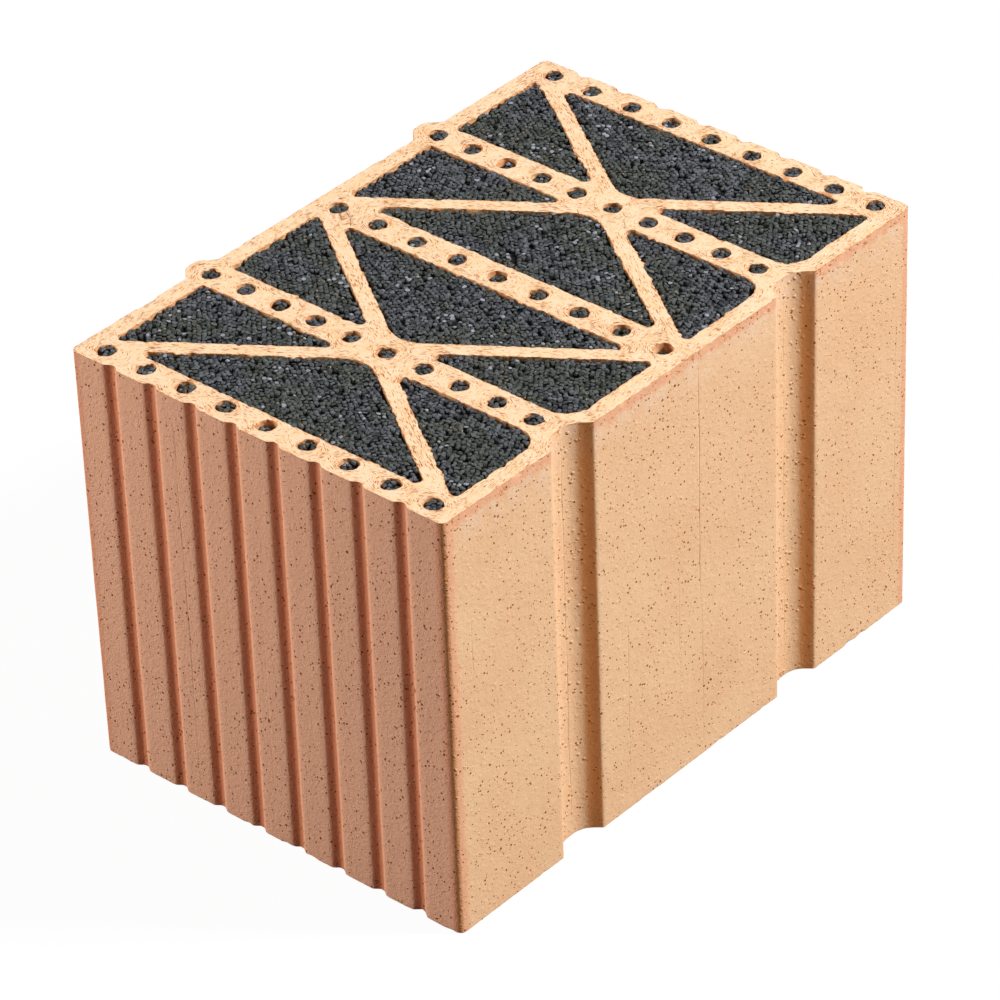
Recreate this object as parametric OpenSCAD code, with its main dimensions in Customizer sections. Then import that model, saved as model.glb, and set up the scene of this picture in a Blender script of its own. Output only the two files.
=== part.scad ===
// Vertically perforated clay block for thick outside walls.
// One fired clay body with triangular cells and round holes, all packed with granular insulation.
// X runs along the wall, Y through the wall, Z up; the block stands on its lower bed face at z = 0.

/* [Block] */
// Length along the wall, without the tongues
block_length = 247; // [220:1:300]
// Depth through the wall, from plaster face to plaster face
block_depth = 365; // [330:1:425]
// Height between the ground bed faces
block_height = 249; // [120:1:300]
// Radius of the four upright corners
corner_radius = 4; // [1:0.5:8]

/* [Walls and webs] */
// Thickness of the two walls behind the plaster faces
face_wall = 18.5; // [16.5:0.5:22]
// Thickness of the two end walls, beside the butt joints
end_wall = 10.5; // [8:0.5:14]
// Thickness of the cross web in the middle of each bay
cross_web = 20.5; // [18:0.5:26]
// Thickness of the web between the two bays
spine_web = 20.5; // [18:0.5:26]
// Thickness of the slanting webs
slant_web = 9; // [7:0.5:12]
// Distance from the middle of a cross web to where a pair of slanting webs would meet
slant_offset = 4; // [2:0.5:6]
// How far past the cell the slanting webs aim, into the wall beside the corner
slant_bite = 5; // [2:0.5:8]

/* [Cells] */
// Radius in the corners of the cells
cell_radius = 3; // [1.5:0.5:4]
// Radius at the blunt top of the large cells
apex_radius = 20; // [12:1:26]
// Radius of the cell corners that pass round the grooves
groove_side_radius = 14; // [8:1:18]

/* [Round holes] */
// Diameter of the round holes
hole_diameter = 10.5; // [8:0.5:13]
// Spacing of the holes in the plaster walls and in the spine web
wall_hole_pitch = 27.1; // [20:0.1:28]
// Least distance from an end of the block to the first of those holes
wall_hole_margin = 14; // [10:0.5:20]
// Distance from a plaster face to its row of holes
wall_row_inset = 10.8; // [10:0.1:12]
// Spacing of the holes in the cross webs
cross_hole_pitch = 23.9; // [18:0.1:24.5]
// Distance from the tongue side to the first hole of a cross web
cross_hole_inset = 7; // [6:0.5:12]
// Least distance from the last hole of a cross web to the floor of its groove
cross_hole_margin = 14; // [10:0.5:20]

/* [Tongues and grooves] */
// Width of a tongue where it leaves the end wall
tongue_base = 23.8; // [20:0.2:26]
// Width of a tongue at its top, before rounding
tongue_top = 9; // [7:0.5:12]
// How far a tongue stands out
tongue_height = 7.4; // [5:0.2:8]
// Radius along the top edges of a tongue
tongue_radius = 6; // [3:0.5:7]
// Radius in the corner between a tongue and the end wall
tongue_root_radius = 1.5; // [0.5:0.5:2]
// Room beside a tongue at the mouth of its groove
groove_side_gap = 3.8; // [2:0.2:5]
// Room beside a tongue at the floor of its groove, before rounding
groove_floor_gap = 4.2; // [3:0.2:6]
// Room between the top of a tongue and the floor of its groove
groove_end_gap = 1.6; // [1:0.2:3]
// Radius in the floor of a groove
groove_radius = 14; // [5:0.5:15]
// Radius of the lips of a groove
groove_lip_radius = 2; // [0.5:0.5:4]

/* [Plaster keys] */
// Spacing of the key grooves
key_pitch = 27.5; // [20:0.1:28]
// Least distance from an end of the block to the first key groove
key_margin = 25; // [15:0.5:32]
// Width of a key groove at the face
key_mouth = 8.6; // [6:0.2:10]
// Width of a key groove at its floor, before rounding
key_floor = 2.8; // [2:0.2:6]
// Depth of a key groove
key_depth = 2.6; // [2:0.1:3.6]
// Radius in the floor and on the lips of a key groove
key_radius = 1.6; // [0.3:0.1:1.8]

/* [Insulation] */
// How far the granules lie below the bed faces
fill_recess = 1; // [0.5:0.5:6]

/* [Hidden] */
clay_colour = [0.93, 0.72, 0.54];
granule_colour = [0.17, 0.18, 0.19];
// Largest turn between two points of a rounded corner, in degrees
arc_step = 12;
// How far a cut runs past the face it opens in
overcut = 1;
hole_facets = 48;

// The origin is under the middle of the whole block, so the body stands off it by half a tongue
body_x = tongue_height / 2;
half_length = block_length / 2;
half_depth = block_depth / 2;
cell_depth = (block_depth - 2 * face_wall - 2 * cross_web - spine_web) / 4;
cell_side = half_length - end_wall;
bay_y = (spine_web + cross_web) / 2 + cell_depth;
cell_near = cross_web / 2;
cell_far = cell_near + cell_depth;

// Slanting webs, measured outward from the middle of a cross web
slant_slope = (cell_far + slant_bite - slant_offset) / cell_side;
slant_rise = slant_web / 2 / cos(atan(slant_slope));

groove_mouth = tongue_base + 2 * groove_side_gap;
groove_floor = tongue_top + 2 * groove_floor_gap;
groove_depth = tongue_height + groove_end_gap;

// Holes and key grooves that the length of the block takes
wall_hole_count = copies(block_length - 2 * wall_hole_margin, wall_hole_pitch);
cross_hole_count = copies(block_length - cross_hole_inset - cross_hole_margin - groove_depth, cross_hole_pitch);
key_count = copies(block_length - 2 * key_margin, key_pitch);

// Rows of holes from front to back: place across the block, first hole, spacing, count
wall_first = -(wall_hole_count - 1) / 2 * wall_hole_pitch;
wall_row_y = half_depth - wall_row_inset;
cross_first = cross_hole_inset - half_length;
hole_rows = [
    [-wall_row_y, wall_first, wall_hole_pitch, wall_hole_count],
    [-bay_y, cross_first, cross_hole_pitch, cross_hole_count],
    [0, wall_first, wall_hole_pitch, wall_hole_count],
    [bay_y, cross_first, cross_hole_pitch, cross_hole_count],
    [wall_row_y, wall_first, wall_hole_pitch, wall_hole_count],
];

// How many copies at this spacing fit on a run of this length
function copies(run, pitch) = 1 + floor(run / pitch);
function unit(v) = v / norm(v);
function turned(p, angle) = [p.x * cos(angle) - p.y * sin(angle), p.x * sin(angle) + p.y * cos(angle)];

// Arc that rounds the corner at b, between its neighbours a and c
function corner_arc(a, b, c, r) =
    let (
        to_a = unit(a - b),
        to_c = unit(c - b),
        half = acos(to_a * to_c) / 2,
        middle = b + unit(to_a + to_c) * r / sin(half),
        start = b + to_a * r / tan(half) - middle,
        end = b + to_c * r / tan(half) - middle,
        from = atan2(start.y, start.x),
        sweep = (atan2(end.y, end.x) - from + 540) % 360 - 180,
        steps = ceil(abs(sweep) / arc_step)
    )
    [for (k = [0 : steps]) middle + r * [cos(from + sweep * k / steps), sin(from + sweep * k / steps)]];

// Closed outline through corners [x, y, radius]
function rounded(corners) =
    let (n = len(corners), at = [for (c = corners) [c.x, c.y]])
    [for (k = [0 : n - 1]) each corner_arc(at[(k + n - 1) % n], at[k], at[(k + 1) % n], corners[k].z)];

// Corners of a groove along a face, or of a tongue where the depth is negative
function channel(mouth, floor, depth, lip_r, floor_r) = [
    [-mouth / 2, 0, lip_r],
    [-floor / 2, depth, floor_r],
    [floor / 2, depth, floor_r],
    [mouth / 2, 0, lip_r],
];
function placed(corners, angle, at) = [for (c = corners) [each turned(c, angle) + at, c.z]];

function key_row(angle) =
    let (key = channel(key_mouth, key_floor, key_depth, key_radius, key_radius))
    [for (k = [0 : key_count - 1])
        each placed(key, angle, turned([(k - (key_count - 1) / 2) * key_pitch, -half_depth], angle))];

function block_outline() =
    let (
        groove = channel(groove_mouth, groove_floor, groove_depth, groove_lip_radius, groove_radius),
        tongue = channel(tongue_base, tongue_top, -tongue_height, tongue_root_radius, tongue_radius)
    )
    rounded([
        [-half_length, -half_depth, corner_radius],
        each key_row(0),
        [half_length, -half_depth, corner_radius],
        each placed(groove, 90, [half_length, -bay_y]),
        each placed(groove, 90, [half_length, bay_y]),
        [half_length, half_depth, corner_radius],
        each key_row(180),
        [-half_length, half_depth, corner_radius],
        each placed(tongue, 270, [-half_length, bay_y]),
        each placed(tongue, 270, [-half_length, -bay_y]),
    ]);

// Large cell between two slanting webs, measured outward from the middle of its cross web
function large_cell() =
    let (
        apex = slant_offset + slant_rise,
        reach = (cell_far - apex) / slant_slope
    )
    [[0, apex, apex_radius], [reach, cell_far, cell_radius], [-reach, cell_far, cell_radius]];

// Small cell between a cross web, an end wall and a slanting web
function small_cell(outer_radius) =
    let (
        start = slant_offset - slant_rise,
        tip = (cell_near - start) / slant_slope,
        corner = start + slant_slope * cell_side
    )
    [[tip, cell_near, cell_radius], [cell_side, cell_near, outer_radius], [cell_side, corner, cell_radius]];

function cell_at(corners, end, side, bay) =
    rounded([for (c = corners) [end * c.x, bay * bay_y + side * c.y, c.z]]);

// Every cell: both bays, both sides of the cross web, then the large cell and the two small ones
cells = [for (bay = [-1, 1], side = [-1, 1]) each [
    cell_at(large_cell(), 1, side, bay),
    cell_at(small_cell(cell_radius), -1, side, bay),
    cell_at(small_cell(groove_side_radius), 1, side, bay),
]];

cell_fill_names = [for (k = [1 : len(cells)]) str("cell_fill_", k)];
hole_fill_names = [for (k = [1 : len(hole_rows)]) str("hole_fill_row_", k)];

// Upright cylinders along one row of holes
module hole_row(row, from_z, to_z) {
    for (k = [0 : row[3] - 1])
        translate([row[1] + k * row[2], row[0], from_z])
            cylinder(h = to_z - from_z, d = hole_diameter, $fn = hole_facets);
}

module clay_body() {
    color(clay_colour)
        translate([body_x, 0, 0])
            difference() {
                linear_extrude(block_height)
                    polygon(block_outline());
                for (cell = cells)
                    translate([0, 0, -overcut])
                        linear_extrude(block_height + 2 * overcut)
                            polygon(cell);
                for (row = hole_rows)
                    hole_row(row, -overcut, block_height + overcut);
            }
}

module cell_fill(k) {
    color(granule_colour)
        translate([body_x, 0, fill_recess])
            linear_extrude(block_height - 2 * fill_recess)
                polygon(cells[k]);
}

module hole_fill_row(k) {
    color(granule_colour)
        translate([body_x, 0, 0])
            hole_row(hole_rows[k], fill_recess, block_height - fill_recess);
}

clay_body();
for (k = [0 : len(cells) - 1])
    cell_fill(k);
for (k = [0 : len(hole_rows) - 1])
    hole_fill_row(k);
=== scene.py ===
# Clay block for thick outside walls, its cells and holes packed with foam granules.
import math
import random

import bmesh
import bpy
import numpy as np
from mathutils import Matrix, Vector, kdtree, noise
from mathutils.bvhtree import BVHTree
from mathutils.geometry import delaunay_2d_cdt


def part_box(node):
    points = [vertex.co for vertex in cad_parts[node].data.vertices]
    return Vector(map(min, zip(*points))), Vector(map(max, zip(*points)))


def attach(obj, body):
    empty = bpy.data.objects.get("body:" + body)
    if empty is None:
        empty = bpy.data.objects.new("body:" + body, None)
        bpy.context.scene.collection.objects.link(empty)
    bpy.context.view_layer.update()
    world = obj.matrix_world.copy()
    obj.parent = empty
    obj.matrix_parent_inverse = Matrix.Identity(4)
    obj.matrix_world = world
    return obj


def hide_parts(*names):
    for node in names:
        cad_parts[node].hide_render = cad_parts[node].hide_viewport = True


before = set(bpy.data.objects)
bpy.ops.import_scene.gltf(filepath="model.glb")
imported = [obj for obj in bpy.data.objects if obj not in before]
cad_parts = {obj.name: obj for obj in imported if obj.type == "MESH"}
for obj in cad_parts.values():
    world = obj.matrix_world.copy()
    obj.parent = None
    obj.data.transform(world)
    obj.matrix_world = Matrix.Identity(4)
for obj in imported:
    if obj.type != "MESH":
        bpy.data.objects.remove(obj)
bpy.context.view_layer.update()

mm = 0.001
touch = 1e-6                          # metres: points this close are one point

# The block's box in mm. The tongues stand out on its left only, so the body's middle is off the origin.
tongue = 7.4
blockLow, blockHigh = (np.round(np.array(corner) / mm, 3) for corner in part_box("clay_body"))
endX, faceY, height = (float(side) for side in blockHigh)
bodyMiddle = tongue / 2
bodyHalf = endX - bodyMiddle
roundWidest = 20.0                    # openings wider than this are cells, the others round holes
flush = 0.1                           # this near to a face is on it
onRim = 0.01                          # and this near to a bed face is its rim
farAway = 1e6                         # further than anything here


def lump(x, y, z, size, seed):        # smooth noise, -1 to 1, lumps of this many mm; a pattern for each seed
    return noise.noise(Vector((x / size + seed * 17.3, y / size - seed * 9.1, z / size + seed * 5.7)))


def ease(value, low, high):
    t = min(1, max(0, (value - low) / (high - low)))
    return t * t * (3 - 2 * t)


def areaOf(loop):                     # positive where the outline runs anticlockwise
    x, y = loop.T
    return 0.5 * np.sum(x * np.roll(y, -1) - y * np.roll(x, -1))


def rimLoops(node):                   # outlines round the upper bed face in mm, clay on the left
    bm = bmesh.new()
    bm.from_mesh(node.data)
    bmesh.ops.remove_doubles(bm, verts=bm.verts, dist=touch)
    top = max(v.co.z for v in bm.verts)
    beside = {}
    for edge in bm.edges:
        flat = sum(f.normal.z > 0.9 for f in edge.link_faces)
        if flat == 1 and all(top - v.co.z < touch for v in edge.verts):
            a, b = edge.verts
            beside.setdefault(a, []).append(b)
            beside.setdefault(b, []).append(a)
    loops, seen = [], set()
    for first in beside:
        walk, here = [], first
        while here is not None:
            seen.add(here)
            walk.append((here.co.x / mm, here.co.y / mm))
            here = next((v for v in beside[here] if v not in seen), None)
        if len(walk) > 2:
            loops.append(np.array(walk))
    bm.free()
    area = [areaOf(p) for p in loops]
    outer = int(np.argmax(np.abs(area)))
    loops = [p if (a > 0) == (k == outer) else p[::-1] for k, (p, a) in enumerate(zip(loops, area))]
    loops.insert(0, loops.pop(outer))
    return loops


def stepped(loop, least, most):       # even steps, short ones dropped and long ones divided
    kept = [loop[0]]
    for p in loop[1:]:
        if np.linalg.norm(p - kept[-1]) >= least:
            kept.append(p)
    if np.linalg.norm(kept[-1] - kept[0]) < least:
        kept.pop()
    out = []
    for a, b in zip(kept, kept[1:] + kept[:1]):
        n = max(1, round(float(np.linalg.norm(b - a)) / most))
        out += [a + (b - a) * k / n for k in range(n)]
    return np.array(out)


def sideways(loop):                   # unit normals that point out of the clay
    t = np.roll(loop, -1, 0) - np.roll(loop, 1, 0)
    t /= np.linalg.norm(t, axis=1)[:, None]
    return np.stack([t[:, 1], -t[:, 0]], 1)


def isRound(loop):
    return np.ptp(loop[:, 0]) < roundWidest


def insideLoop(points, loop):         # which points lie inside an outline
    a, b = loop, np.roll(loop, -1, 0)
    x, y = points[:, :1], points[:, 1:]
    rise = np.where(b[:, 1] == a[:, 1], 1e-12, b[:, 1] - a[:, 1])
    crosses = ((a[:, 1] > y) != (b[:, 1] > y)) & (x < (b[:, 0] - a[:, 0]) * (y - a[:, 1]) / rise + a[:, 0])
    return crosses.sum(1) % 2 == 1


def plainMesh(name, verts, faces, smoothAngle=math.radians(40)):
    mesh = bpy.data.meshes.new(name)
    mesh.from_pydata(verts, [], faces)
    mesh.shade_smooth()
    mesh.set_sharp_from_angle(angle=smoothAngle)
    mesh.validate()
    return mesh


def addValues(mesh, name, values):
    mesh.attributes.new(name, "FLOAT", "POINT").data.foreach_set("value", values)


def place(name, mesh):
    piece = bpy.data.objects.new(name, mesh)
    bpy.context.scene.collection.objects.link(piece)
    return piece


def direction(azimuth, elevation):    # unit vector from the block towards a camera or lamp
    return Vector((math.sin(azimuth) * math.cos(elevation), -math.cos(azimuth) * math.cos(elevation),
                   math.sin(elevation)))


# Camera at the photograph's viewing angle
camera = dict(azimuth=42.022, elevation=34.565, roll=-2.153, lens=190.8, sensor=36, distance=2.7483,
              across=0.002544, up=0.010349, clip=(0.1, 50))


def makeCamera(c):
    a, e, r = (math.radians(c[key]) for key in ("azimuth", "elevation", "roll"))
    away = direction(a, e)
    right = Vector((math.cos(a), math.sin(a), 0))
    up = away.cross(right)
    right, up = right * math.cos(r) + up * math.sin(r), up * math.cos(r) - right * math.sin(r)
    data = bpy.data.cameras.new("camera")
    data.lens, data.sensor_width = c["lens"], c["sensor"]
    data.clip_start, data.clip_end = c["clip"]
    eye = bpy.data.objects.new("camera", data)
    middle = Vector((bodyMiddle, 0, height / 2)) * mm
    spot = middle - right * c["across"] - up * c["up"] + away * c["distance"]
    eye.matrix_world = Matrix.Translation(spot) @ Matrix((right, up, away)).transposed().to_4x4()
    bpy.context.scene.collection.objects.link(eye)
    bpy.context.scene.camera = eye


makeCamera(camera)
print("camera set")


# One socket of a material, with sums written as Python expressions
class Wire:
    def __init__(self, tree, socket=None):
        self.tree, self.socket = tree, socket

    def node(self, kind, settings=None, sockets=None, out=0):
        made = self.tree.nodes.new(kind)
        for key, value in (settings or {}).items():
            setattr(made, key, value)
        for key, value in (sockets or {}).items():
            if isinstance(value, Wire):
                self.tree.links.new(value.socket, made.inputs[key])
            else:
                made.inputs[key].default_value = value
        return Wire(self.tree, made.outputs[out] if made.outputs else None)

    def maths(self, operation, *values):
        return self.node("ShaderNodeMath", {"operation": operation}, dict(enumerate(values)))

    def __add__(self, other):
        return self.maths("ADD", self, other)

    def __radd__(self, other):
        return self.maths("ADD", other, self)

    def __sub__(self, other):
        return self.maths("SUBTRACT", self, other)

    def __rsub__(self, other):
        return self.maths("SUBTRACT", other, self)

    def __mul__(self, other):
        return self.maths("MULTIPLY", self, other)

    def __rmul__(self, other):
        return self.maths("MULTIPLY", other, self)

    def __truediv__(self, other):
        return self.maths("DIVIDE", self, other)

    def __abs__(self):
        return self.maths("ABSOLUTE", self)

    def top(self, other):             # the larger of two values
        return self.maths("MAXIMUM", self, other)

    def step(self, low, high):        # 0 below low, 1 above high, smooth between
        return self.node("ShaderNodeMapRange", {"interpolation_type": "SMOOTHSTEP"},
                         {"Value": self, "From Min": low, "From Max": high})

    def paint(self, under, over):     # this value mixes one colour over another
        return self.node("ShaderNodeMix", {"data_type": "RGBA"}, {0: self, 6: under, 7: over}, out=2)


def linear(c):                        # one screen value, 0 to 255, as light
    return c / 255 / 12.92 if c < 10.3 else ((c / 255 + 0.055) / 1.055) ** 2.4


def tints(colours):                   # named screen colours as shader colours
    return {key: (*map(linear, value), 1) for key, value in colours.items()}


class Stuff:                          # a material's tree with its usual starting points
    def __init__(self, name):
        self.material = bpy.data.materials.new(name)
        self.material.use_nodes = True
        self.tree = self.material.node_tree
        self.tree.nodes.clear()
        self.start = Wire(self.tree)
        where = self.start.node("ShaderNodeTexCoord", out="Object")
        self.spot = self.start.node(
            "ShaderNodeVectorMath", {"operation": "SCALE"}, {0: where, "Scale": 1 / mm})
        self.x, self.y, self.z = (
            self.start.node("ShaderNodeSeparateXYZ", None, {0: self.spot}, out=k) for k in range(3))

    def value(self, name):
        return self.start.node("ShaderNodeAttribute", {"attribute_name": name}, out="Fac")

    def joined(self, x, y, z):
        return self.start.node("ShaderNodeCombineXYZ", None, {0: x, 1: y, 2: z})

    def grainy(self, size, detail=2.0, rough=0.5, at=None):
        return self.start.node("ShaderNodeTexNoise", None, {
            "Vector": at or self.spot, "Scale": 1 / size, "Detail": detail, "Roughness": rough})

    def spots(self, size, out, at=None):
        return self.start.node(
            "ShaderNodeTexVoronoi", None, {"Vector": at or self.spot, "Scale": 1 / size}, out=out)

    def fromSpots(self, size, at=None):                  # mm from the nearest of some scattered spots
        return self.spots(size, "Distance", at) * size

    def shaded(self, base, value):                       # a colour made lighter or darker
        return self.start.node("ShaderNodeHueSaturation", None, {"Value": value, "Color": base})

    def finish(self, base, rough, relief, specular):     # relief in mm
        bump = self.start.node("ShaderNodeBump", None, {"Strength": 1.0, "Distance": mm, "Height": relief})
        shader = self.start.node("ShaderNodeBsdfPrincipled", None, {
            "Base Color": base, "Roughness": rough, "Specular IOR Level": specular, "Normal": bump})
        self.start.node("ShaderNodeOutputMaterial", None, {"Surface": shader})
        return self.material


# Fired clay: outer faces, ground bed faces and the walls of the cells. Sizes are in mm.
clayLook = dict(
    colours=dict(
        side=(233, 190, 148), sideWarm=(231, 184, 141), plaster=(240, 177, 142),
        # The recess colour is the keys' darker clay with painted shade, also painted shade on the rounded
        # corners; the groove-back colour is a painted shadow
        bloom=(236, 210, 186), band=(231, 164, 126), recess=(214, 102, 54), grooveShadow=(236, 148, 64),
        bed=(238, 205, 169), bedWarm=(235, 196, 152), vein=(222, 142, 84), pore=(138, 70, 32),
        crumb=(206, 134, 82), inner=(242, 190, 138), innerDark=(224, 150, 98),
        pitRing=(212, 118, 50), pitCore=(104, 42, 12), crack=(140, 74, 40), speck=(250, 244, 234)),
    fine=0.7, grit=2.2, blotch=9, cloud=55, pitPatch=24,
    band=(3.5, 7.5, 9), corner=(5, 8.5, 4), bloom=(8, 28, 20),       # fading from, to, and how ragged
    nicks=(2, 9), nickSize=3.2,
    manyPits=(2.5, 0.21, 0.44), fewPits=(6.3, 0.3, 0.4),             # gap, least radius, most added to it
    pimpleGap=4.4, pimpleSize=1.15, pimplePatch=17, speckGap=9.5, faceSpeck=0.3, bedSpeck=0.4,
    grainTurns=6, dashLong=3.2, dashWide=0.5, barePatch=12, bedBlotch=6,
    liningFine=0.8, liningBlotch=4, gloss=0.25)
clayTint = tints(clayLook["colours"])


def pitted(s, pits, patch, fine):     # ragged pits: how much of the rim and of the core is here
    gap, least, more = pits
    share = s.start.node("ShaderNodeTexWhiteNoise", None, {"Vector": s.spots(gap, "Color")}, out="Value")
    ragged = (share * share * more + least) * patch - s.fromSpots(gap) + (fine - 0.5) * 0.3
    return ragged.step(-0.14, 0.1), ragged.step(0.02, 0.17)


def specks(s, gap, size):             # odd white specks
    return (size - s.fromSpots(gap)).step(-0.1, 0.1)


def faceMaterial(look, tint):
    s = Stuff("clay_faces")
    recess, crack, rim, groove = (s.value(name) for name in ("recess", "crack", "rim", "groove"))
    fine = s.grainy(look["fine"], 2, 0.6)
    grit = s.grainy(look["grit"], 2, 0.6)
    middle = s.grainy(look["blotch"], 3, 0.55)
    base = s.grainy(look["cloud"], 2, 0.5).step(0.35, 0.7).paint(tint["side"], tint["sideWarm"])
    toFace = faceY - abs(s.y)                            # distance from the nearer plaster face
    onEnd = toFace.step(1, 4)
    base = (1 - onEnd).paint(base, tint["plaster"])

    def fading(away, reach):          # 1 near an edge, with a ragged end
        start, end, ragged = reach
        return 1 - (away + (middle - 0.5) * ragged).step(start, end)

    # Pink band under the upper arris with a pale bloom below it, and warm strips along the corners
    fromTop = height - s.z
    band, corner = fading(fromTop, look["band"]), fading(toFace, look["corner"])
    bloom = middle.step(0.3, 0.7) * fading(fromTop, look["bloom"])
    base = (bloom * onEnd * 0.4).paint(base, tint["bloom"])
    base = (band.top(corner) * onEnd * (1 - groove) * 0.7).paint(base, tint["band"])
    # Painted shade: in the keys over their darker clay, on the rounded corners, and as the shadow on the
    # grooves' back flanks
    base = (recess * 0.65).paint(base, groove.paint(tint["recess"], tint["grooveShadow"]))
    crumbs = rim.step(0.55, 1) * grit.step(0.42, 0.62).top(recess * (1 - groove))
    base = (crumbs * 0.85).paint(base, tint["crumb"])

    # Torn nicks under the upper arris
    nicks = (1 - fromTop.step(*look["nicks"])) * s.grainy(look["nickSize"], 3, 0.6).step(0.6, 0.67) * onEnd
    base = (nicks * 0.75).paint(base, tint["pitRing"])

    # Pits with dark cores, pimples and odd white specks
    patch = 0.55 + s.grainy(look["pitPatch"], 2, 0.5) * 0.9
    manyRims, manyCores = pitted(s, look["manyPits"], patch, fine)
    fewRims, fewCores = pitted(s, look["fewPits"], patch, fine)
    pits, cores = manyRims.top(fewRims), (manyCores * 0.7).top(fewCores)
    base = (pits * 0.9).paint(base, tint["pitRing"])
    base = (cores * (0.95 - onEnd * 0.2)).paint(base, tint["pitCore"])
    aside = s.joined(s.x + 31, s.y - 7, s.z)             # so that pimples aren't where other spots are
    away = s.fromSpots(look["pimpleGap"], aside)
    crowd = 0.3 + groove * s.grainy(look["pimplePatch"], 2, 0.5).step(0.4, 0.55) * 1.3
    pimples = (look["pimpleSize"] - away).step(-0.1, 0.9) * crowd
    # Pimples in the grooves take the painted groove-shadow colour, for the shade on their sides
    base = (pimples * groove * 0.35).paint(base, tint["grooveShadow"])
    base = specks(s, look["speckGap"], look["faceSpeck"]).paint(base, tint["speck"])
    base = (crack * 0.85).paint(base, tint["crack"])
    base = s.shaded(base, 0.76 + fine * 0.28 + grit * 0.2)
    bump = pimples * 0.45 - nicks * 0.3 - pits * (0.4 - onEnd * 0.2) - cores * (0.7 - onEnd * 0.4)
    bump = bump + fine * (0.5 - onEnd * 0.32) + grit * (0.46 - onEnd * 0.28) + middle * 0.3
    return s.finish(base, 0.84 + fine * 0.14, bump, look["gloss"])


def bedMaterial(look, tint):
    s = Stuff("clay_bed")
    rim, crack = s.value("rim"), s.value("crack")
    fine, middle = s.grainy(look["fine"], 2, 0.6), s.grainy(look["bedBlotch"], 3, 0.55)
    bare = 0.07 * (1 - s.grainy(look["barePatch"], 2, 0.5).step(0.36, 0.62))     # patches with few dashes
    dashes = cores = None
    for k in range(look["grainTurns"]):                  # turned copies of one pattern of torn dashes
        a = math.pi * k / look["grainTurns"]
        share = s.value(f"grain{k}")
        along = s.x * math.cos(a) + s.y * math.sin(a)
        across = s.y * math.cos(a) - s.x * math.sin(a)
        at = s.joined(along / look["dashLong"], across / look["dashWide"], 3.7 * k)
        torn = s.grainy(1, 1, 0.6, at) - 0.07 * (1 - share * 1.6).top(0) - bare
        here = share.step(0.15, 0.5)
        dash, core = torn.step(0.54, 0.61) * here, torn.step(0.62, 0.69) * here
        dashes, cores = (dash, core) if dashes is None else (dashes.top(dash), cores.top(core))
    base = middle.step(0.36, 0.7).paint(tint["bed"], tint["bedWarm"])
    base = (dashes * 0.9).paint(base, tint["vein"])
    base = (rim.step(0.7, 1) * middle.step(0.3, 0.6) * 0.8).paint(base, tint["crumb"])
    base = (cores * 0.85).paint(base, tint["pore"])
    base = (crack.step(0.25, 0.8) * 0.7).paint(base, tint["crack"])
    base = specks(s, look["speckGap"], look["bedSpeck"]).paint(base, tint["speck"])
    base = s.shaded(base, 0.93 + fine * 0.14)
    bump = fine * 0.22 + middle * 0.3 - dashes * 0.12 - cores * 0.15
    return s.finish(base, 0.85 + fine * 0.13, bump, look["gloss"])


def liningMaterial(look, tint):
    s = Stuff("clay_lining")
    rim = s.value("rim")
    fine, middle = s.grainy(look["liningFine"], 2, 0.6), s.grainy(look["liningBlotch"], 2, 0.55)
    base = middle.step(0.35, 0.7).paint(tint["inner"], tint["innerDark"])
    base = (rim * fine.step(0.35, 0.6) * 0.8).paint(base, tint["crumb"])
    return s.finish(base, 0.85 + fine * 0.13, fine * 0.3 + middle * 0.4, look["gloss"])


# Foam granules
granuleLook = dict(
    # gap: painted shade, for the gaps between beads and the bed under them
    colours=dict(gap=(3, 3, 3), dark=(18, 19, 21), pale=(100, 103, 109), moss=(70, 76, 56),
                 light=(148, 149, 159), ochre=(180, 138, 84)),
    fine=0.5, clump=3.6, patch=30, fleckGap=3.2, fleckSize=0.45, gloss=0.4)


def granuleMaterial(look):
    s = Stuff("foam_granules")
    tint = tints(look["colours"])
    tone = s.value("tone")            # 0 in the gaps, 1 on the odd light bead; lower at a bead's edge as painted shade
    fine, clump = s.grainy(look["fine"], 2, 0.6), s.grainy(look["clump"], 2, 0.55)
    patch = s.grainy(look["patch"], 3, 0.5)
    lumps = clump.step(0.34, 0.66)
    base = (tone * 0.5 + lumps * 0.3 + fine.step(0.3, 0.7) * 0.25).step(0.12, 0.9)
    base = base.paint(tint["dark"], tint["pale"])
    base = (patch.step(0.4, 0.58) * fine.step(0.42, 0.6) * 0.7).paint(base, tint["moss"])
    base = tone.step(0.95, 0.96).paint(base, tint["light"])
    flecks = (look["fleckSize"] - s.fromSpots(look["fleckGap"])).step(-0.1, 0.1) * patch.step(0.46, 0.6)
    base = (flecks * 0.8).paint(base, tint["ochre"])
    # Painted shade: black in the gaps and on the bed under the beads
    base = (1 - tone.step(0.005, 0.02)).paint(base, tint["gap"])
    base = s.shaded(base, 0.5 + fine.step(0.32, 0.68) * 0.6 + lumps * 0.3)
    return s.finish(base, 0.55 + fine * 0.25, fine * 0.5, look["gloss"])


clayMaterials = [make(clayLook, clayTint) for make in (faceMaterial, bedMaterial, liningMaterial)]
foamGranules = granuleMaterial(granuleLook)
print("materials ready")


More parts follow.
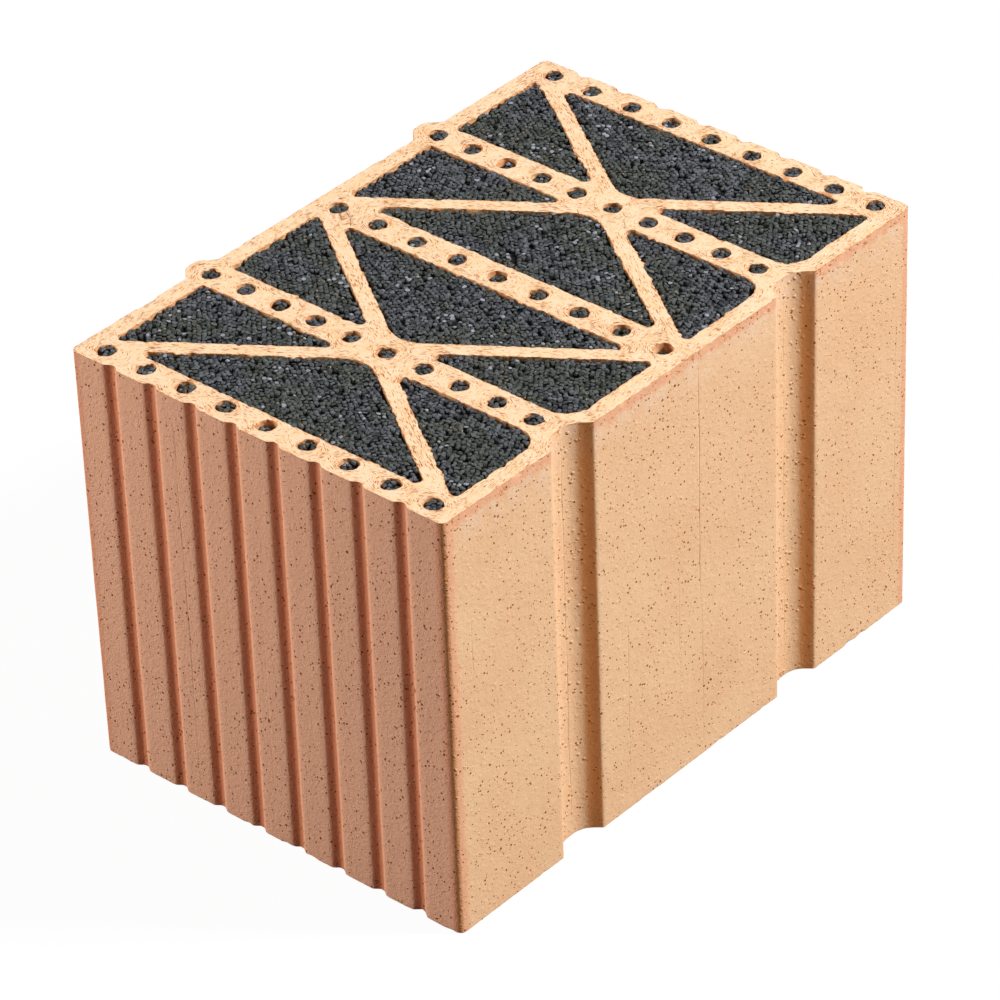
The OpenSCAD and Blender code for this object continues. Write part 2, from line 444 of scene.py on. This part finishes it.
# Clay body, in mm. Levels are distances from the nearer bed face.
clayBody = dict(
    cellStep=0.95, holeStep=0.8, outerStep=1.7, leastStep=0.45, seed=11, holeSeed=51,
    outerLevels=(0, 0.6, 1.6, 3.4, 6), outerGap=9.0,
    hangShare={0: 0.8, 0.5: 1.0, 1.4: 0.55, 3.2: 0.1},               # level: share of the torn rim
    burr=1.5, tear=0.62, teeth=0.5, chip=0.9, chipReach=2.2, holeChip=0.6, innerChipReach=2.0,
    wave=0.25, waveSize=26, ripple=0.06, rippleSize=6, rimReach=2.5,
    faceReach=4.5, softSpan=118, softLip=0.9, softStep=0.1,          # worn lips of the keys
    keySpan=105, keyDeep=3, grooveSpan=150, grooveDeep=9.7,          # where keys and grooves are
    cornerSize=4, cornerFrom=8.5, cornerDark=(7, 2.5),               # rounded corners, from the ends, and where their painted shade fades in
    crackWidth=0.26, crackDepth=0.5, crackFade=25,
    cracks=(                                             # face, place, from, to, strength
        ("x", -86.2, 0, height, 0.55), ("x", 88.0, 0, height, 0.4), ("x", 8.8, 90, height, 0.75),
        ("x", 9.6, 0, 110, 0.4), ("x", -49.0, 0, 120, 0.4), ("x", -165.2, 140, 196, 0.4),
        ("x", -128.5, 178, 190, 0.5), ("x", -8.0, 60, 200, 0.25), ("x", 170.0, 20, 200, 0.3),
        ("y", -50.5, 0, height, 0.5), ("y", 2.5, 20, 215, 0.3)),
    bedStep=2.1, lowerStep=1.4, bedJitter=0.3, bedClear=1.2, bedSink=0.05, bedWave=12,
    webStep=1.5, webNear=26, webSoft=1.2,                # how the direction of a web is read from its rims
    bedCrackStep=0.8, bedCrackDepth=0.3, bedCrackHalf=0.4, bedCrackWander=0.4,
    bedCrackClear=0.8, bedCrackAway=1,
    bedCracks=(
        ((-18.8, 84.5), (-21.3, 83), (-23.3, 81), (-25.3, 80)),
        ((13.7, 87), (16.7, 85), (19.7, 85.2), (21, 86.6)), ((24.2, 87.5), (26.7, 85.5)),
        ((18.7, 95), (20.2, 98), (23.7, 100), (30, 100)), ((21.7, 79), (23.7, 77), (24.7, 75.5)),
        ((-6.3, 74.5), (-4.8, 73), (-2.8, 72.2)), ((104.7, 0), (108.2, 0.5)),
        ((108.7, -3), (109.7, -6), (113.7, -8.5)), ((97.7, -9), (100.7, -13)), ((90.2, 4), (92.7, 0)),
        ((25.7, -98), (28.7, -102)), ((-100.5, -4.2), (-96.5, -6.7)),
        ((-98, -1), (-93.5, -3.5), (-89, -8.5)), ((-94, -13.5), (-93, -17.5), (-95, -19.5))))

loops = rimLoops(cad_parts["clay_body"])


def torn(x, y, z, c, seed):           # how far the torn rim hangs into the opening, in mm
    hang = ease(lump(x, y, z, 10, seed), 0.12, 0.5) * (0.55 + lump(x, y, z, 2.4, seed + 1))
    ragged = c["tear"] * lump(x, y, z, 3.4, seed + 2)
    return c["burr"] * hang + ragged + c["teeth"] * lump(x, y, z, 1.5, seed + 3)


def chipped(x, y, z, seed):           # how deep the rim is chipped, 0 to 1
    return ease(lump(x, y, z, 7, seed + 4), 0.22, 0.6) * (0.6 + 0.4 * lump(x, y, z, 1.7, seed + 5))


def withCracks(loop, c):              # the outline with three close columns for each crack, and their cracks
    points, marks = [], []
    for a, b in zip(loop, np.roll(loop, -1, 0)):
        points.append(a)
        marks.append(None)
        for number, (face, at, *_) in enumerate(c["cracks"]):
            along = 1 if face == "x" else 0
            if face == "x":
                onFace = min(a[0], b[0]) > endX - c["grooveDeep"]
            else:
                onFace = max(a[1], b[1]) < flush - faceY
            if onFace and min(a[along], b[along]) < at <= max(a[along], b[along]):
                t = (at - a[along]) / (b[along] - a[along])
                t = min(0.65, max(0.35, t))              # clear of the columns beside it
                for shift, middle in ((-1, False), (0, True), (1, False)):
                    points.append(a + (b - a) * (t + shift * c["crackWidth"] / np.linalg.norm(b - a)))
                    marks.append((number, middle))
    return np.array(points), marks


def softKeys(loop, c):                # worn lips: the key grooves of both plaster faces, smoothed
    out = loop.copy()
    step, span = c["softStep"], c["softSpan"]
    x = np.arange(bodyMiddle - span, bodyMiddle + span, step)
    reach = 40                        # steps that a lip is smoothed over, to each side
    weight = np.exp(-0.5 * (np.arange(-reach, reach + 1) * step / c["softLip"]) ** 2)
    for side in (-1, 1):
        here = (loop[:, 1] * side > faceY - c["faceReach"]) & (np.abs(loop[:, 0] - bodyMiddle) < span)
        order = np.argsort(loop[here, 0])
        y = np.interp(x, loop[here, 0][order], loop[here, 1][order])
        y = np.convolve(np.pad(y, reach, "edge"), weight / weight.sum(), "valid")
        out[here, 1] = np.interp(loop[here, 0], x, y)
    return out


def alongLine(line, step):            # points along an open line
    out = []
    for a, b in zip(line, line[1:]):
        n = max(1, round(math.dist(a, b) / step))
        out += [(a[0] + (b[0] - a[0]) * k / n, a[1] + (b[1] - a[1]) * k / n) for k in range(n)]
    return out + [line[-1]]


def hollows(x, y, nx, ny, c):         # painted shade on a spot of the outside, with the keys' darker clay, and how far it lies in a groove
    deep, into, aside = faceY - abs(y), endX - x, abs(x - bodyMiddle)
    # keys: their darker clay and painted shade, on the floor and the flank facing +x
    if deep < c["keyDeep"] and aside < c["keySpan"]:
        return ease(deep, 0.0, 0.8) * ease(nx, -0.6, -0.15), 0.0
    if flush < into < c["grooveDeep"] and abs(y) < c["grooveSpan"]:    # in a groove: painted shadow on its back flank
        groove = ease(into, flush, 0.8)
        return groove * ease(-ny, 0.55, 0.69), groove
    # rounded corners: painted shade, also fading in over the plaster face towards them
    if deep < c["cornerSize"] and aside > bodyHalf - c["cornerFrom"]:
        groove = ease(min(abs(nx), abs(ny)), 0.2, 0.6)
        start, end = (bodyHalf - d for d in c["cornerDark"])
        return max(groove, 0.7 * ease(aside, start, end) * ease(abs(ny), 0.5, 0.9)), groove
    return 0.0, 0.0


def outerShift(x, y, z, edge, chip, c):                  # how far an outer spot moves out and drops
    push = -c["wave"] * (0.5 + 0.5 * lump(x, y, z, c["waveSize"], 5))
    push -= c["ripple"] * (1 + lump(x, y, z, c["rippleSize"], 6))
    push -= chip * max(0, 1 - edge / c["chipReach"]) * 0.8
    drop = chip * 0.6 + 0.25 * max(0, lump(x, y, z, 2.2, 9)) if edge < onRim else 0
    return push, max(0, drop)


def innerShift(x, y, z, faceZ, edge, chip, seed, inHole, c):         # the same in a cell or hole
    hang = torn(x, y, faceZ, c, seed)
    push = hang * c["hangShare"][round(edge, 1)]
    push -= chip * max(0, 1 - edge / c["innerChipReach"]) * (c["holeChip"] if inHole else 1)
    if edge < onRim:
        return push, max(0, chip * 0.8 + max(0, hang) * 0.2)
    return push, 0.2 * lump(x, y, z, 2.5, 9) if edge < 2 else 0


def crackAt(z, mark, c):              # how far a crack wanders at this height, and how open this column is
    number, middle = mark
    _, at, start, end, strength = c["cracks"][number]
    wander = 0.8 * lump(0, at, z, 40, 31) + 0.25 * lump(0, at, z, 9, 32)
    if not middle:
        return wander, 0.0
    fade = ease(z, start, start + c["crackFade"]) * ease(end + 1 - z, 0, c["crackFade"])
    return wander, max(0.0, strength * fade * (0.55 + 0.6 * lump(0, at, z, 22, 33)))


class ClayMesh:                       # points, faces and values of the clay, as they are made
    def __init__(self, turns):
        self.points, self.faces, self.kinds, self.grain = [], [], [], []
        self.values = {"recess": [], "groove": [], "rim": [], "crack": []}
        self.turns = turns

    def add(self, x, y, z, **given):
        self.points.append((x * mm, y * mm, z * mm))
        self.grain.append([0.0] * self.turns)
        for key in self.values:
            self.values[key].append(given.get(key, 0.0))
        return len(self.points) - 1

    def addFace(self, corners, kind):                    # kind: 0 outer face, 1 bed face, 2 lining
        self.faces.append(tuple(corners))
        self.kinds.append(kind)

    def plan(self, number):           # where a point is, seen from above, in mm
        x, y, _ = self.points[number]
        return x / mm, y / mm

    def mesh(self, name, materials):
        mesh = plainMesh(name, self.points, self.faces)
        for key, given in self.values.items():
            addValues(mesh, key, given)
        for k in range(self.turns):
            addValues(mesh, f"grain{k}", [shares[k] for shares in self.grain])
        for material in materials:
            mesh.materials.append(material)
        mesh.polygons.foreach_set("material_index", self.kinds)
        return mesh


class Webs:                           # the clay seen from above: how near a rim is, and which way a web runs
    def __init__(self, c, turns):
        self.turns, self.near, self.soft = turns, c["webNear"], c["webSoft"]
        spots, self.headings = [], []
        for loop in loops:
            loop = stepped(loop, c["leastStep"], c["webStep"])
            spots += [(p[0], p[1], 0) for p in loop]
            self.headings += [math.atan2(-n[0], n[1]) for n in sideways(loop)]
        self.rims = kdtree.KDTree(len(spots))
        for k, p in enumerate(spots):
            self.rims.insert(p, k)
        self.rims.balance()
        solid = bmesh.new()
        solid.from_mesh(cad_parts["clay_body"].data)
        self.solid = BVHTree.FromBMesh(solid)
        solid.free()

    def toRim(self, x, y):
        return self.rims.find((x, y, 0))[2]

    def inClay(self, x, y):
        return self.solid.ray_cast(Vector((x * mm, y * mm, 1)), Vector((0, 0, -1)))[0] is not None

    def grain(self, x, y):            # shares of the two dash patterns nearest to the web's direction
        cos2 = sin2 = 0
        for _, k, d in self.rims.find_n((x, y, 0), self.near):
            weight = 1 / (d + self.soft) ** 2
            cos2 += weight * math.cos(2 * self.headings[k])
            sin2 += weight * math.sin(2 * self.headings[k])
        share = (0.5 * math.atan2(sin2, cos2) / math.pi * self.turns) % self.turns
        first, rest = int(share) % self.turns, share - int(share)
        out = [0.0] * self.turns
        out[first], out[(first + 1) % self.turns] = 1 - rest, rest
        return out


def wallLevels(outer, c):             # heights of a wall's rows of points, from the top down
    near = list(c["outerLevels"] if outer else c["hangShare"])
    levels = [height - d for d in near]
    if outer:
        plain = height - 2 * near[-1]
        n = round(plain / c["outerGap"])
        levels += [height - near[-1] - plain * k / n for k in range(1, n)]
    return levels + near[::-1]


def clayWalls(clay, c):               # the outside, then each cell and hole; gives the upper and lower rims
    upperRims, lowerRims = [], []
    for number, loop in enumerate(loops):
        outer, inHole = number == 0, isRound(loop)
        if outer:
            loop, marks = withCracks(softKeys(stepped(loop, c["leastStep"], c["outerStep"]), c), c)
        else:
            loop = stepped(loop, c["leastStep"], c["holeStep"] if inHole else c["cellStep"])
            marks = [None] * len(loop)
        normal = sideways(loop)
        seed = c["holeSeed"] if inHole else c["seed"]
        grid = []
        for z in wallLevels(outer, c):
            row = []
            edge = min(z, height - z)                    # distance from the nearer bed face
            faceZ = 0 if z < height / 2 else height
            for (x, y), (nx, ny), mark in zip(loop, normal, marks):
                chip = c["chip"] * chipped(x, y, faceZ, seed)
                recess = groove = crack = 0.0
                if outer:
                    recess, groove = hollows(x, y, nx, ny, c)
                    push, drop = outerShift(x, y, z, edge, chip, c)
                else:
                    push, drop = innerShift(x, y, z, faceZ, edge, chip, seed, inHole, c)
                if mark:
                    wander, crack = crackAt(z, mark, c)
                    x, y = (x, y + wander) if c["cracks"][mark[0]][0] == "x" else (x + wander, y)
                    push -= crack * c["crackDepth"]
                rim = max(0.0, 1 - edge / c["rimReach"])
                row.append(clay.add(x + nx * push, y + ny * push, z - drop if faceZ else z + drop,
                                    recess=recess, groove=groove, crack=crack, rim=rim))
            grid.append(row)
        for upper, lower in zip(grid, grid[1:]):
            for i in range(len(upper)):
                j = (i + 1) % len(upper)
                clay.addFace((upper[i], lower[i], lower[j], upper[j]), 0 if outer else 2)
        upperRims.append(grid[0])
        lowerRims.append(grid[-1])
    return upperRims, lowerRims


def clayBedFace(clay, webs, rims, upper, draw, c):       # triangles between the rims and loose points
    z, into = (height, -1) if upper else (0.0, 1)
    flat, known, edges, owner, outlines = [], [], [], [], []

    def add(x, y, sink, **given):
        known.append(clay.add(x, y, z + into * sink, **given))
        clay.grain[-1] = webs.grain(x, y)
        flat.append(Vector((x, y)))
        owner.append(-1)

    for number, row in enumerate(rims):
        start = len(flat)
        flat += [Vector(clay.plan(v)) for v in row]
        outlines.append(np.array(flat[start:]))
        known += row
        owner += [number] * len(row)
        edges += [(start + i, start + (i + 1) % len(row)) for i in range(len(row))]
    for v in known:
        clay.grain[v] = webs.grain(*clay.plan(v))

    # Cracks in the upper bed face: a sunk line between two edges
    crackSpots = np.full((1, 2), farAway)
    wander, half = c["bedCrackWander"], c["bedCrackHalf"]
    for line in c["bedCracks"] if upper else ():
        spots = alongLine(line, c["bedCrackStep"])
        headings = [math.atan2(q[1] - p[1], q[0] - p[0]) for p, q in zip(spots, spots[1:])]
        before = None
        for (x, y), turn in zip(spots, headings + headings[-1:]):
            x, y = x + wander * lump(x, y, 0, 2, 51), y + wander * lump(x, y, 0, 2, 52)
            if webs.toRim(x, y) < c["bedCrackClear"] or not webs.inClay(x, y):
                before = None
                continue
            crackSpots = np.concatenate([crackSpots, [(x, y)]])
            if before is not None:
                edges.append((before, len(flat)))
            before = len(flat)
            add(x, y, c["bedCrackDepth"], crack=1.0)
            for shift in (-half, half):
                add(x - shift * math.sin(turn), y + shift * math.cos(turn), c["bedSink"])

    # Loose points, clear of the rims and the cracks
    step, jitter = c["bedStep"] * (1 if upper else c["lowerStep"]), c["bedJitter"]
    for iy in range(int((blockHigh[1] - blockLow[1]) / step) + 1):
        for ix in range(int((blockHigh[0] - blockLow[0]) / step) + 1):
            x = blockLow[0] + (ix + 0.5 * (iy % 2) + draw.uniform(-jitter, jitter)) * step
            y = blockLow[1] + (iy + draw.uniform(-jitter, jitter)) * step
            away = webs.toRim(x, y)
            if away < c["bedClear"] or not webs.inClay(x, y):
                continue
            if np.hypot(*(crackSpots - (x, y)).T).min() < c["bedCrackAway"]:
                continue
            sink = c["bedSink"] * (1 + lump(x, y, z, c["bedWave"], 21))
            add(x, y, sink, rim=max(0.0, 1 - away / c["rimReach"]) * 0.6)

    spots, _, made, origin, _, _ = delaunay_2d_cdt(flat, edges, [], 1, 1e-5)
    for face in made:
        corners = [origin[v][0] for v in face]
        holders = {owner[k] for k in corners}
        if len(holders) == 1 and min(holders) > 0:       # one rim only, so it may lie in a cell or hole
            middle = sum((spots[v] for v in face), Vector((0, 0))) / len(face)
            if insideLoop(np.array([middle]), outlines[holders.pop()])[0]:
                continue
        corners = [known[k] for k in corners]
        clay.addFace(corners if upper else corners[::-1], 1)


def makeClay(c):
    turns = clayLook["grainTurns"]
    clay, webs, draw = ClayMesh(turns), Webs(c, turns), random.Random(c["seed"])
    upperRims, lowerRims = clayWalls(clay, c)
    clayBedFace(clay, webs, upperRims, True, draw, c)
    clayBedFace(clay, webs, lowerRims, False, draw, c)
    print("clay body", len(clay.points), "points", sum(len(f) - 2 for f in clay.faces), "triangles")
    return clay.mesh("clay_block", clayMaterials)


clayPiece = place("clay_block", makeClay(clayBody))
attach(clayPiece, "root")
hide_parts("clay_body")


# Granules: beads pressed together on a bed painted black as shade, cut nearly level with the bed faces. Sizes
# are in mm.
granules = dict(
    cellStep=4, holeStep=1.6, leastStep=0.5, cellSeeds=(150, 100), holeSeeds=(500, 300), rowSeed=20,
    gap=2.9, rowRise=0.866, jitter=0.5, settle=4, apart=0.9, nudge=0.4, missing=0.045,
    size=1.56, spread=0.18, ragged=0.22, sides=10, press=1.0, neighbours=9, wallGap=0.7, wallReach=2.4,
    # Rings of a bead: shares of its reach, of its fall and of the painted shade at its edge
    rings=((0.0, 0.0, 0.0), (0.6, 0.16, 0.0), (0.87, 0.45, 0.35), (1.0, 1.0, 1.0)),
    # Fall, and tone left under the painted edge shade, where beads meet and where their edges stand free
    neck=0.2, neckTone=0.88, edge=1.5, openTone=0.06, openShare=0.12,
    top=0.12, uneven=0.45, holeTop=0.06, holeUneven=0.35, sway=0.15, swaySize=18, tilt=0.13, least=0.05,
    bed=2.6, bedGap=0.12, cluster=15.0, clusterFrom=0.22,
    lightShare=0.13, strayLight=0.004, tones=(0.15, 0.85),
    sunk={(1, 5): 3.0, (1, 6): 0.8, (2, 6): 0.9, (3, 5): 0.6,        # row and place in it: lower by so much
          (3, 8): 0.8, (3, 9): 3.0, (4, 3): 1.8, (4, 6): 0.9})


def nearestOn(points, loop):          # nearest spot of an outline to each point, and how far it is
    d = np.roll(loop, -1, 0) - loop
    t = np.clip(((points[:, None] - loop) * d).sum(2) / (d * d).sum(1), 0, 1)
    spots = loop + t[..., None] * d
    far = np.linalg.norm(points[:, None] - spots, axis=2)
    rows, best = np.arange(len(points)), far.argmin(1)
    return spots[rows, best], far[rows, best]


def packBeads(loop, g, draw):         # bead centres, outlines as ways and reaches, and where they stand free
    low, high = loop.min(0), loop.max(0)
    n = int(np.linalg.norm(high - low) / 2 / g["gap"]) + 3
    i, j = np.meshgrid(np.arange(-n, n + 1), np.arange(-n, n + 1))
    grid = np.stack([i + 0.5 * (j % 2), j * g["rowRise"]], 2).reshape(-1, 2) * g["gap"]
    a = draw.uniform(0, math.pi / 3)
    spots = grid @ np.array([[math.cos(a), math.sin(a)], [-math.sin(a), math.cos(a)]]) + (low + high) / 2
    spots += draw.normal(0, g["jitter"], spots.shape)
    spots = spots[insideLoop(spots, loop)]
    for _ in range(g["settle"]):      # crowded beads push each other away
        apart = spots[:, None] - spots
        far = np.linalg.norm(apart, axis=2) + farAway * np.eye(len(spots))
        crowded = np.maximum(0, g["apart"] * g["gap"] - far) / far
        spots = spots + g["nudge"] * (apart * crowded[..., None]).sum(1)
    spots = spots[insideLoop(spots, loop)]
    wall, away = nearestOn(spots, loop)
    keep = (away > g["wallGap"]) & (draw.random(len(spots)) > g["missing"])
    spots, wall, away = spots[keep], wall[keep], away[keep]

    # Each bead ends halfway to its neighbours and at the wall
    others = np.concatenate([spots, (2 * wall - spots)[away < g["gap"]]])
    far = np.linalg.norm(spots[:, None] - others, axis=2)
    far[np.arange(len(spots)), np.arange(len(spots))] = farAway
    near = np.argsort(far, axis=1)[:, :g["neighbours"]]
    toward = others[near] - spots[:, None]
    turn = draw.uniform(0, math.tau, (len(spots), 1)) + np.arange(g["sides"]) * math.tau / g["sides"]
    ways = np.stack([np.cos(turn), np.sin(turn)], 2)
    along = np.einsum("nsk,nmk->nsm", ways, toward)
    half = (toward ** 2).sum(2)[:, None] / 2 / np.maximum(along, 1e-6)
    size = g["size"] * (1 + draw.uniform(-1, 1, (len(spots), 1)) * g["spread"])
    size = np.where(away[:, None] < g["wallReach"], np.maximum(size, away[:, None]), size)
    contact = np.where(along > 1e-6, half, farAway).min(2) * g["press"]
    reach = np.minimum(contact, size)
    free = np.clip((contact - reach) / (g["openShare"] * size), 0, 1)
    reach *= 1 - g["ragged"] * draw.random(reach.shape) ** 2
    return spots, ways, reach, free


def granuleFace(loop, g, top, uneven, upper, seed):      # points, faces and tones of the beads on one face
    draw = np.random.default_rng(seed)
    spots, ways, reach, free = packBeads(loop, g, draw)
    n, sides = len(spots), g["sides"]
    sway = np.array([lump(x, y, seed, g["swaySize"], 61) for x, y in spots])
    sink = top + uneven * draw.random(n) + g["sway"] * sway
    lean = draw.normal(0, g["tilt"], (n, 1, 2))
    fall = g["neck"] + free * (g["edge"] - g["neck"])
    # how far painted shade darkens a bead's edge: a little where beads meet, nearly black where the edge
    # stands free
    dim = 1 - g["neckTone"] - free * (g["openTone"] - g["neckTone"])
    rings, shades = [], []
    for share, curve, shade in g["rings"]:
        count = sides if share else 1
        flat = ways * (reach * share)[..., None]
        deep = np.maximum(g["least"], sink[:, None] + fall * curve + (flat * lean).sum(2))
        z = height - deep if upper else deep
        rings.append(np.concatenate([spots[:, None] + flat, z[..., None]], 2)[:, :count])
        shades.append((1 - dim * shade)[:, :count])
    points = np.concatenate(rings, 1)
    each = points.shape[1]
    faces = []
    for k in range(sides):
        m = (k + 1) % sides
        faces.append((0, 1 + k, 1 + m))
        for inner in range(1, each - sides, sides):
            faces.append((inner + k, inner + sides + k, inner + sides + m, inner + m))
    faces = [f if upper else f[::-1] for f in faces]
    light = np.array([lump(x, y, seed, g["cluster"], 62) for x, y in spots]) > g["clusterFrom"]
    isLight = draw.random(n) < np.where(light, g["lightShare"], g["strayLight"])
    tone = np.where(isLight, 1.0, draw.uniform(*g["tones"], n))
    made = [tuple(b * each + v for v in f) for b in range(n) for f in faces]
    # each bead's tone, darkened towards its edge as painted shade
    tones = tone[:, None] * np.concatenate(shades, 1)
    return points.reshape(-1, 3), made, tones.ravel()


def granuleBed(loop, g, deep):        # plain body under the beads, tone 0, so painted black as shade
    wall = (loop + sideways(loop) * g["bedGap"])[::-1]
    n = len(wall)
    points = np.concatenate([np.c_[wall, np.full(n, height - deep)], np.c_[wall, np.full(n, g["bed"])]])
    faces = [tuple(range(n)), tuple(range(2 * n - 1, n - 1, -1))]
    return points, faces + [(k, n + k, n + (k + 1) % n, (k + 1) % n) for k in range(n)], np.zeros(2 * n)


def fillOpening(loop, g, top, uneven, sunk, seeds):      # the bed and both faces of one filling
    return [granuleBed(loop, g, g["bed"] + sunk), granuleFace(loop, g, top + sunk, uneven, True, seeds[0]),
            granuleFace(loop, g, top, uneven, False, seeds[1])]


def makeGranules(name, node, parts):
    points, faces, tones = [], [], []
    for partPoints, partFaces, partTones in parts:
        start = sum(map(len, points))
        points.append(partPoints)
        faces += [tuple(start + v for v in f) for f in partFaces]
        tones.append(partTones)
    mesh = plainMesh(name, (np.concatenate(points) * mm).tolist(), faces, math.radians(75))
    addValues(mesh, "tone", np.concatenate(tones))
    mesh.materials.append(foamGranules)
    piece = place(name, mesh)
    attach(piece, "root")
    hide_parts(node)
    return sum(len(f) - 2 for f in faces)


def planBox(node):                    # lowest and highest corner of a filling, seen from above
    return (np.array(corner)[:2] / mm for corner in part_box(node))


def numbered(start):                  # 1, 2, 3 and so on, for the nodes whose names start so
    return range(1, 1 + sum(name.startswith(start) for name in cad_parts))


def makeCells(g):
    total = 0
    cellLoops = [p for p in loops[1:] if not isRound(p)]
    for k in numbered("cell_fill_"):
        low, high = planBox(f"cell_fill_{k}")
        loop = min(cellLoops, key=lambda p: np.abs(p.min(0) - low).sum() + np.abs(p.max(0) - high).sum())
        loop = stepped(loop, g["leastStep"], g["cellStep"])
        seeds = [seed + k for seed in g["cellSeeds"]]
        parts = fillOpening(loop, g, g["top"], g["uneven"], 0.0, seeds)
        total += makeGranules(f"cell_granules_{k}", f"cell_fill_{k}", parts)
    return total


def makeHoles(g):
    total = 0
    holeLoops = sorted((p for p in loops[1:] if isRound(p)), key=lambda p: p[:, 0].mean())
    for k in numbered("hole_fill_row_"):
        low, high = planBox(f"hole_fill_row_{k}")
        parts = []
        for number, loop in enumerate((p for p in holeLoops if low[1] < p[:, 1].mean() < high[1]), 1):
            loop = stepped(loop, g["leastStep"], g["holeStep"])
            seeds = [seed + g["rowSeed"] * k + number for seed in g["holeSeeds"]]
            sunk = g["sunk"].get((k, number), 0.0)
            parts += fillOpening(loop, g, g["holeTop"], g["holeUneven"], sunk, seeds)
        total += makeGranules(f"hole_granules_{k}", f"hole_fill_row_{k}", parts)
    return total


print("granules", makeCells(granules) + makeHoles(granules), "triangles")


# Floor, light and background
studio = dict(
    colours=dict(seen=(250, 250, 250), lit=(110, 110, 110)), floorWhite=0.96, sky=0.12,
    floorHalf=6, floorZ=-0.0004, aimZ=0.12,
    keyPower=370, keyTurn=127, keyRise=44, keySize=0.7, keyAway=5.0,
    fillPower=43, fillTurn=-48, fillRise=16, fillSize=0.8, fillAway=2.4)


def makeStudio(s):
    mesh = bpy.data.meshes.new("floor")
    r, z = s["floorHalf"], s["floorZ"]
    mesh.from_pydata([(-r, -r, z), (r, -r, z), (r, r, z), (-r, r, z)], [], [(0, 1, 2, 3)])
    floor = place("floor", mesh)
    material = bpy.data.materials.new("pale_floor")
    material.use_nodes = True
    material.node_tree.nodes.clear()
    start = Wire(material.node_tree)
    tint = tints(s["colours"])
    seen = start.node("ShaderNodeLightPath", out="Is Camera Ray")
    matt = start.node("ShaderNodeBsdfDiffuse", None, {"Color": seen.paint(tint["lit"], tint["seen"])})
    white = start.node("ShaderNodeEmission", None, {"Color": (1, 1, 1, 1), "Strength": 1.0})
    both = start.node("ShaderNodeMixShader", None, {0: seen * s["floorWhite"], 1: matt, 2: white})
    start.node("ShaderNodeOutputMaterial", None, {"Surface": both})
    mesh.materials.append(material)
    world = bpy.data.worlds.new("studio")
    bpy.context.scene.world = world
    world.use_nodes = True
    back = world.node_tree.nodes["Background"]
    back.inputs["Color"].default_value = (1, 1, 1, 1)
    back.inputs["Strength"].default_value = s["sky"]
    for kind in ("key", "fill"):
        away = direction(math.radians(s[kind + "Turn"]), math.radians(s[kind + "Rise"]))
        lamp = bpy.data.lights.new(kind, "AREA")
        lamp.energy, lamp.size = s[kind + "Power"], s[kind + "Size"]
        light = bpy.data.objects.new(kind, lamp)
        light.location = Vector((0, 0, s["aimZ"])) + away * s[kind + "Away"]
        light.rotation_euler = away.to_track_quat("Z", "Y").to_euler()
        bpy.context.scene.collection.objects.link(light)
    bpy.context.scene.view_settings.view_transform = "Standard"


makeStudio(studio)
print("studio set")
